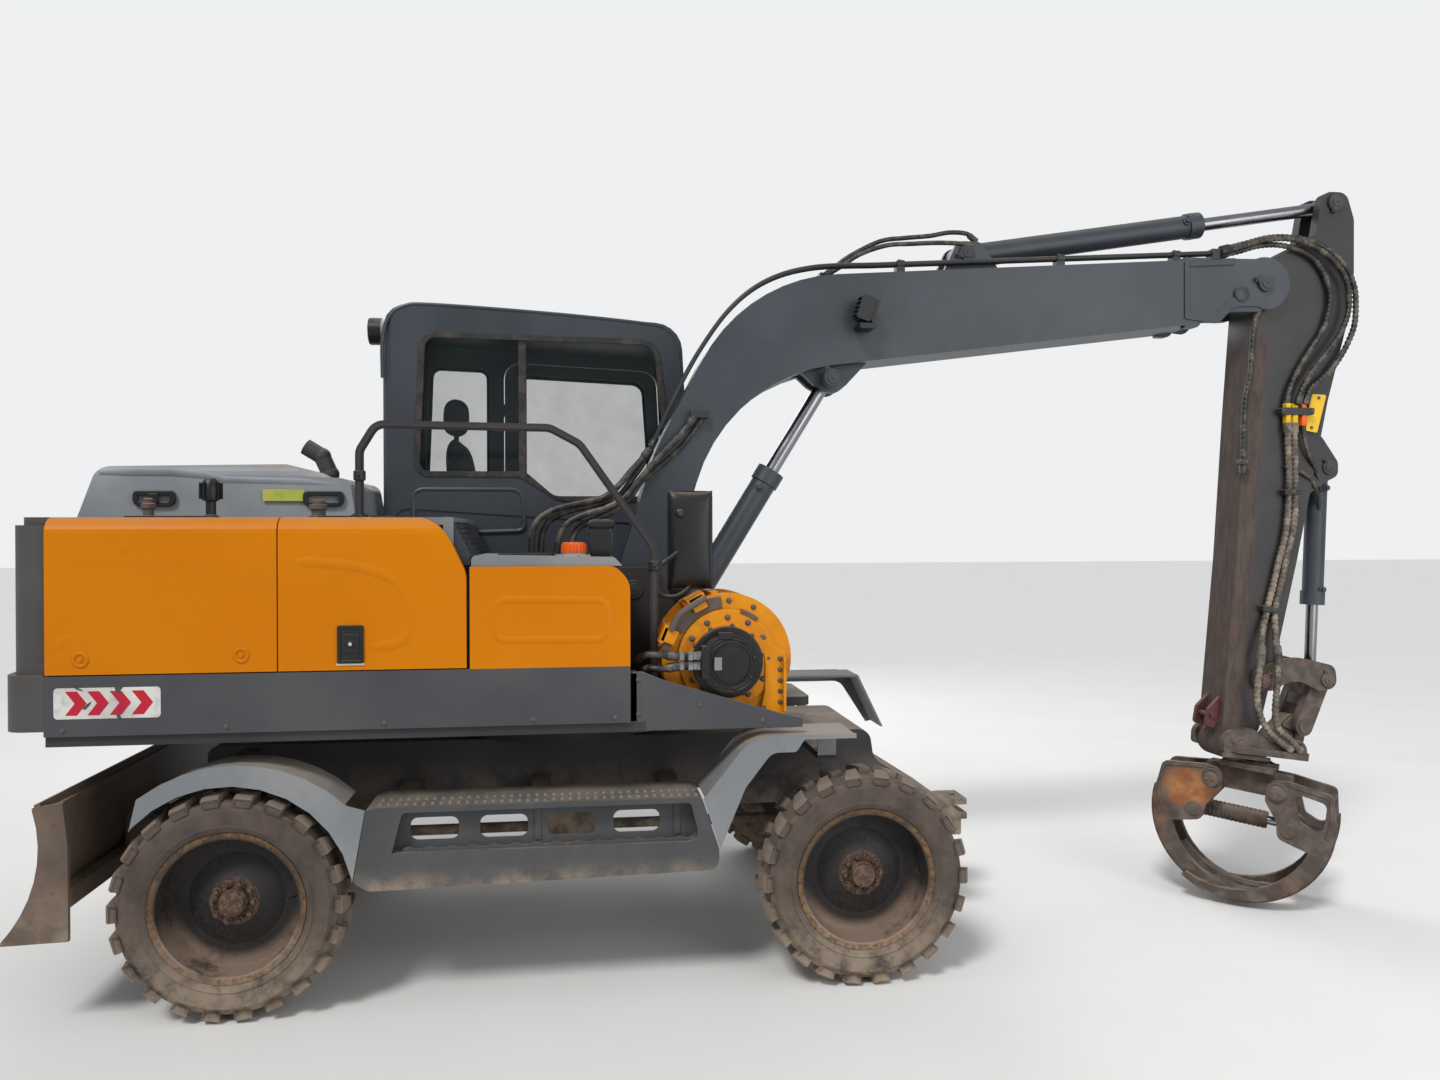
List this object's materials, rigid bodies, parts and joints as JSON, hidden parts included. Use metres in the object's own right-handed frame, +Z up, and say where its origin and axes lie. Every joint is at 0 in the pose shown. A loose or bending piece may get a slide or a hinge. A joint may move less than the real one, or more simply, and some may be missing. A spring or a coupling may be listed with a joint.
{
  "type": "wheeled excavator",
  "caption": "Wheeled excavator with a cab, bent boom, arm and rotating log grapple, a rear dozer blade and a hydraulic winch; it steers, slews, lifts and grips.",
  "frame": {"origin": "centre of the bounding box, on the ground under the tyres", "axes": "+X towards the boom's front end, +Y to the machine's left, +Z up"},
  "size_m": [6.11, 2.1, 3.575],
  "materials": {
    "slate_grey": "semi-gloss, dusty",
    "orange_yellow": "semi-gloss, scratched",
    "winch_yellow": "semi-gloss, oily",
    "worn_grey": "matt, worn",
    "chassis_black": "matt, dusty",
    "rod_chrome": "polished",
    "tyre_rubber": "dusty",
    "rim_dark": "matt, rusty at the flange",
    "window_glass": "clear",
    "arm_grey": "matt, rusty",
    "grapple_rust": "rusty and dusty",
    "interior_black": "matt",
    "seat_fabric": "woven",
    "pipe_steel": "dull",
    "engine_iron": "oily",
    "exhaust_steel": "rusty",
    "lamp_black": "glossy"
  },
  "bodies": {
    "undercarriage": {"chassis_frame": "chassis_black", "front_axle": "chassis_black", "rear_axle": "chassis_black", "drive_line": "chassis_black", "fenders": "worn_grey", "side_steps": "worn_grey"},
    "knuckle_right": {"knuckle_right": "chassis_black"},
    "knuckle_left": {"knuckle_left": "chassis_black"},
    "tie_rod": {"tie_rod": "pipe_steel"},
    "wheel_front_right": {"tyre_front_right": "tyre_rubber", "rim_front_right": "rim_dark"},
    "wheel_front_left": {"tyre_front_left": "tyre_rubber", "rim_front_left": "rim_dark"},
    "wheel_rear_right": {"tyre_rear_right": "tyre_rubber", "rim_rear_right": "rim_dark"},
    "wheel_rear_left": {"tyre_rear_left": "tyre_rubber", "rim_rear_left": "rim_dark"},
    "blade": {"dozer_blade": "arm_grey"},
    "blade_barrel": {"blade_barrel": "slate_grey"},
    "blade_rod": {"blade_rod": "rod_chrome"},
    "upper": {"platform": "chassis_black", "counterweight": "slate_grey", "side_skirts": "slate_grey", "engine_deck": "worn_grey", "engine_block": "engine_iron", "tank_box": "orange_yellow", "exhaust": "exhaust_steel", "handrail": "chassis_black", "mirrors": "lamp_black", "winch_housing": "winch_yellow", "winch_motor": "chassis_black", "cab_shell": "slate_grey", "cab_glass": "window_glass", "seat": "seat_fabric", "cab_console": "interior_black", "cab_lamps": "lamp_black"},
    "hood": {"hood": "worn_grey"},
    "door_right_rear": {"door_right_rear": "orange_yellow"},
    "door_right_front": {"door_right_front": "orange_yellow"},
    "door_left": {"door_left": "orange_yellow"},
    "cab_door": {"cab_door": "slate_grey", "cab_door_glass": "window_glass"},
    "boom": {"boom": "slate_grey", "boom_pipes": "pipe_steel"},
    "boom_barrel": {"boom_barrel": "slate_grey"},
    "boom_rod": {"boom_rod": "rod_chrome"},
    "arm": {"arm": "arm_grey"},
    "arm_barrel": {"arm_barrel": "slate_grey"},
    "arm_rod": {"arm_rod": "rod_chrome"},
    "hanger": {"hanger": "grapple_rust"},
    "rocker": {"rocker": "grapple_rust"},
    "link": {"link": "grapple_rust"},
    "tool_barrel": {"tool_barrel": "slate_grey"},
    "tool_rod": {"tool_rod": "rod_chrome"},
    "grapple": {"grapple_frame": "grapple_rust"},
    "jaw_left": {"jaw_left": "grapple_rust"},
    "jaw_right": {"jaw_right": "grapple_rust"},
    "grapple_barrel": {"grapple_barrel": "grapple_rust"},
    "grapple_rod": {"grapple_rod": "rod_chrome"}
  },
  "joints": [
    {"name": "steer_right", "type": "hinge", "parent": "undercarriage", "child": "knuckle_right", "pos_m": [0.31, -0.758, 0.436], "axis": [0, 0, 1], "range_deg": [-30, 30]},
    {"name": "steer_left", "type": "hinge", "parent": "undercarriage", "child": "knuckle_left", "pos_m": [0.31, 0.758, 0.436], "axis": [0, 0, 1], "range_deg": [-30.1, 30.1]},
    {"name": "tie_rod_shift", "type": "slide", "parent": "undercarriage", "child": "tie_rod", "axis": [0, 1, 0], "range_m": [-0.097, 0.097]},
    {"name": "wheel_front_right_spin", "type": "hinge", "parent": "knuckle_right", "child": "wheel_front_right", "pos_m": [0.31, -0.915, 0.436], "axis": [0, 1, 0], "continuous": true},
    {"name": "wheel_front_left_spin", "type": "hinge", "parent": "knuckle_left", "child": "wheel_front_left", "pos_m": [0.31, 0.915, 0.436], "axis": [0, 1, 0], "continuous": true},
    {"name": "wheel_rear_right_spin", "type": "hinge", "parent": "undercarriage", "child": "wheel_rear_right", "pos_m": [-2.18, -0.915, 0.436], "axis": [0, 1, 0], "continuous": true},
    {"name": "wheel_rear_left_spin", "type": "hinge", "parent": "undercarriage", "child": "wheel_rear_left", "pos_m": [-2.18, 0.915, 0.436], "axis": [0, 1, 0], "continuous": true},
    {"name": "blade_lift", "type": "hinge", "parent": "undercarriage", "child": "blade", "pos_m": [-2.335, 0, 0.5], "axis": [0, 1, 0], "range_deg": [-38, 8]},
    {"name": "blade_barrel_swing", "type": "hinge", "parent": "undercarriage", "child": "blade_barrel", "pos_m": [-2.335, 0, 0.86], "axis": [0, 1, 0], "range_deg": [-23.19, 4.96]},
    {"name": "blade_rod_stroke", "type": "slide", "parent": "blade_barrel", "child": "blade_rod", "axis": [-0.8732, 0, -0.4874], "range_m": [-0.0397, 0.1864]},
    {"name": "slew", "type": "hinge", "parent": "undercarriage", "child": "upper", "pos_m": [-0.935, 0, 1.06], "axis": [0, 0, 1], "continuous": true},
    {"name": "hood_open", "type": "hinge", "parent": "upper", "child": "hood", "pos_m": [-2.945, 0, 1.9203], "axis": [0, -1, 0], "range_deg": [0, 60]},
    {"name": "door_right_rear_open", "type": "hinge", "parent": "upper", "child": "door_right_rear", "pos_m": [-2.826, -1, 1.6], "axis": [0, 0, -1], "range_deg": [0, 100]},
    {"name": "door_right_front_open", "type": "hinge", "parent": "upper", "child": "door_right_front", "pos_m": [-1.9955, -1, 1.6], "axis": [0, 0, -1], "range_deg": [0, 100]},
    {"name": "door_left_open", "type": "hinge", "parent": "upper", "child": "door_left", "pos_m": [-2.826, 1, 1.6], "axis": [0, 0, 1], "range_deg": [0, 100]},
    {"name": "cab_door_open", "type": "hinge", "parent": "upper", "child": "cab_door", "pos_m": [-1.26, 1.011, 2], "axis": [0, 0, 1], "range_deg": [0, 90]},
    {"name": "boom_lift", "type": "hinge", "parent": "upper", "child": "boom", "pos_m": [-0.605, -0.2, 1.6], "axis": [0, -1, 0], "range_deg": [-55, 30]},
    {"name": "boom_barrel_swing", "type": "hinge", "parent": "upper", "child": "boom_barrel", "pos_m": [-0.385, -0.2, 1.42], "axis": [0, 1, 0], "range_deg": [-30.62, 56.05]},
    {"name": "boom_rod_stroke", "type": "slide", "parent": "boom_barrel", "child": "boom_rod", "axis": [0.5235, 0, 0.852], "range_m": [-0.2466, 0.1348]},
    {"name": "arm_swing", "type": "hinge", "parent": "boom", "child": "arm", "pos_m": [2.535, -0.2, 3.09], "axis": [0, 1, 0], "range_deg": [-60, 24]},
    {"name": "arm_barrel_swing", "type": "hinge", "parent": "boom", "child": "arm_barrel", "pos_m": [1.01, -0.2, 3.205], "axis": [0, 1, 0], "range_deg": [-12.1, 4.9]},
    {"name": "arm_rod_stroke", "type": "slide", "parent": "arm_barrel", "child": "arm_rod", "axis": [0.9871, 0, 0.1602], "range_m": [-0.4699, 0.1883]},
    {"name": "hanger_tilt", "type": "hinge", "parent": "arm", "child": "hanger", "pos_m": [2.41, -0.2, 0.794], "axis": [0, 1, 0], "range_deg": [-32, 30]},
    {"name": "rocker_swing", "type": "hinge", "parent": "arm", "child": "rocker", "pos_m": [2.545, -0.2, 1.11], "axis": [0, 1, 0], "range_deg": [-32.31, 30.29]},
    {"name": "link_swing", "type": "hinge", "parent": "rocker", "child": "link", "pos_m": [2.885, -0.2, 1.109], "axis": [0, 1, 0], "range_deg": [-38.8, 41.38]},
    {"name": "tool_barrel_swing", "type": "hinge", "parent": "arm", "child": "tool_barrel", "pos_m": [2.927, -0.2, 2.18], "axis": [0, 1, 0], "range_deg": [-0.59, 0.63]},
    {"name": "tool_rod_stroke", "type": "slide", "parent": "tool_barrel", "child": "tool_rod", "axis": [-0.0392, 0, -0.9992], "range_m": [-0.1812, 0.1699]},
    {"name": "grapple_turn", "type": "hinge", "parent": "hanger", "child": "grapple", "pos_m": [2.565, -0.2, 0.735], "axis": [0.1392, 0, 0.9903], "continuous": true},
    {"name": "jaw_left_open", "type": "hinge", "parent": "grapple", "child": "jaw_left", "pos_m": [2.42894, -0.10358, 0.59255], "axis": [0.6365, 0.766, -0.0895], "range_deg": [0, 40]},
    {"name": "jaw_right_open", "type": "hinge", "parent": "grapple", "child": "jaw_right", "pos_m": [2.65652, -0.29642, 0.56056], "axis": [0.6365, 0.766, -0.0895], "range_deg": [-40.1, 0]},
    {"name": "grapple_barrel_swing", "type": "hinge", "parent": "jaw_left", "child": "grapple_barrel", "pos_m": [2.35218, -0.05859, 0.43167], "axis": [0.6365, 0.766, -0.0895], "range_deg": [-40.1, 0]},
    {"name": "grapple_rod_stroke", "type": "slide", "parent": "grapple_barrel", "child": "grapple_rod", "axis": [0.7586, -0.6428, -0.1066], "range_m": [0, 0.1965]}
  ],
  "couplings": [
    {"joint": "steer_left", "follows": "steer_right", "ratio": 1},
    {"joint": "tie_rod_shift", "follows": "steer_right", "m_per_rad": -0.18335},
    {"joint": "blade_barrel_swing", "follows": "blade_lift", "ratio": 0.60753},
    {"joint": "blade_rod_stroke", "follows": "blade_lift", "m_per_rad": -0.28015},
    {"joint": "boom_barrel_swing", "follows": "boom_lift", "ratio": -1.0172},
    {"joint": "boom_rod_stroke", "follows": "boom_lift", "m_per_rad": 0.25624},
    {"joint": "arm_barrel_swing", "follows": "arm_swing", "ratio": 0.20001},
    {"joint": "arm_rod_stroke", "follows": "arm_swing", "m_per_rad": 0.44819},
    {"joint": "rocker_swing", "follows": "hanger_tilt", "ratio": 1.0064},
    {"joint": "link_swing", "follows": "hanger_tilt", "ratio": -1.2901},
    {"joint": "tool_barrel_swing", "follows": "hanger_tilt", "ratio": -0.01644},
    {"joint": "tool_rod_stroke", "follows": "hanger_tilt", "m_per_rad": 0.32342},
    {"joint": "jaw_right_open", "follows": "jaw_left_open", "ratio": -1},
    {"joint": "grapple_barrel_swing", "follows": "jaw_left_open", "ratio": -1},
    {"joint": "grapple_rod_stroke", "follows": "jaw_left_open", "m_per_rad": 0.28056}
  ]
}
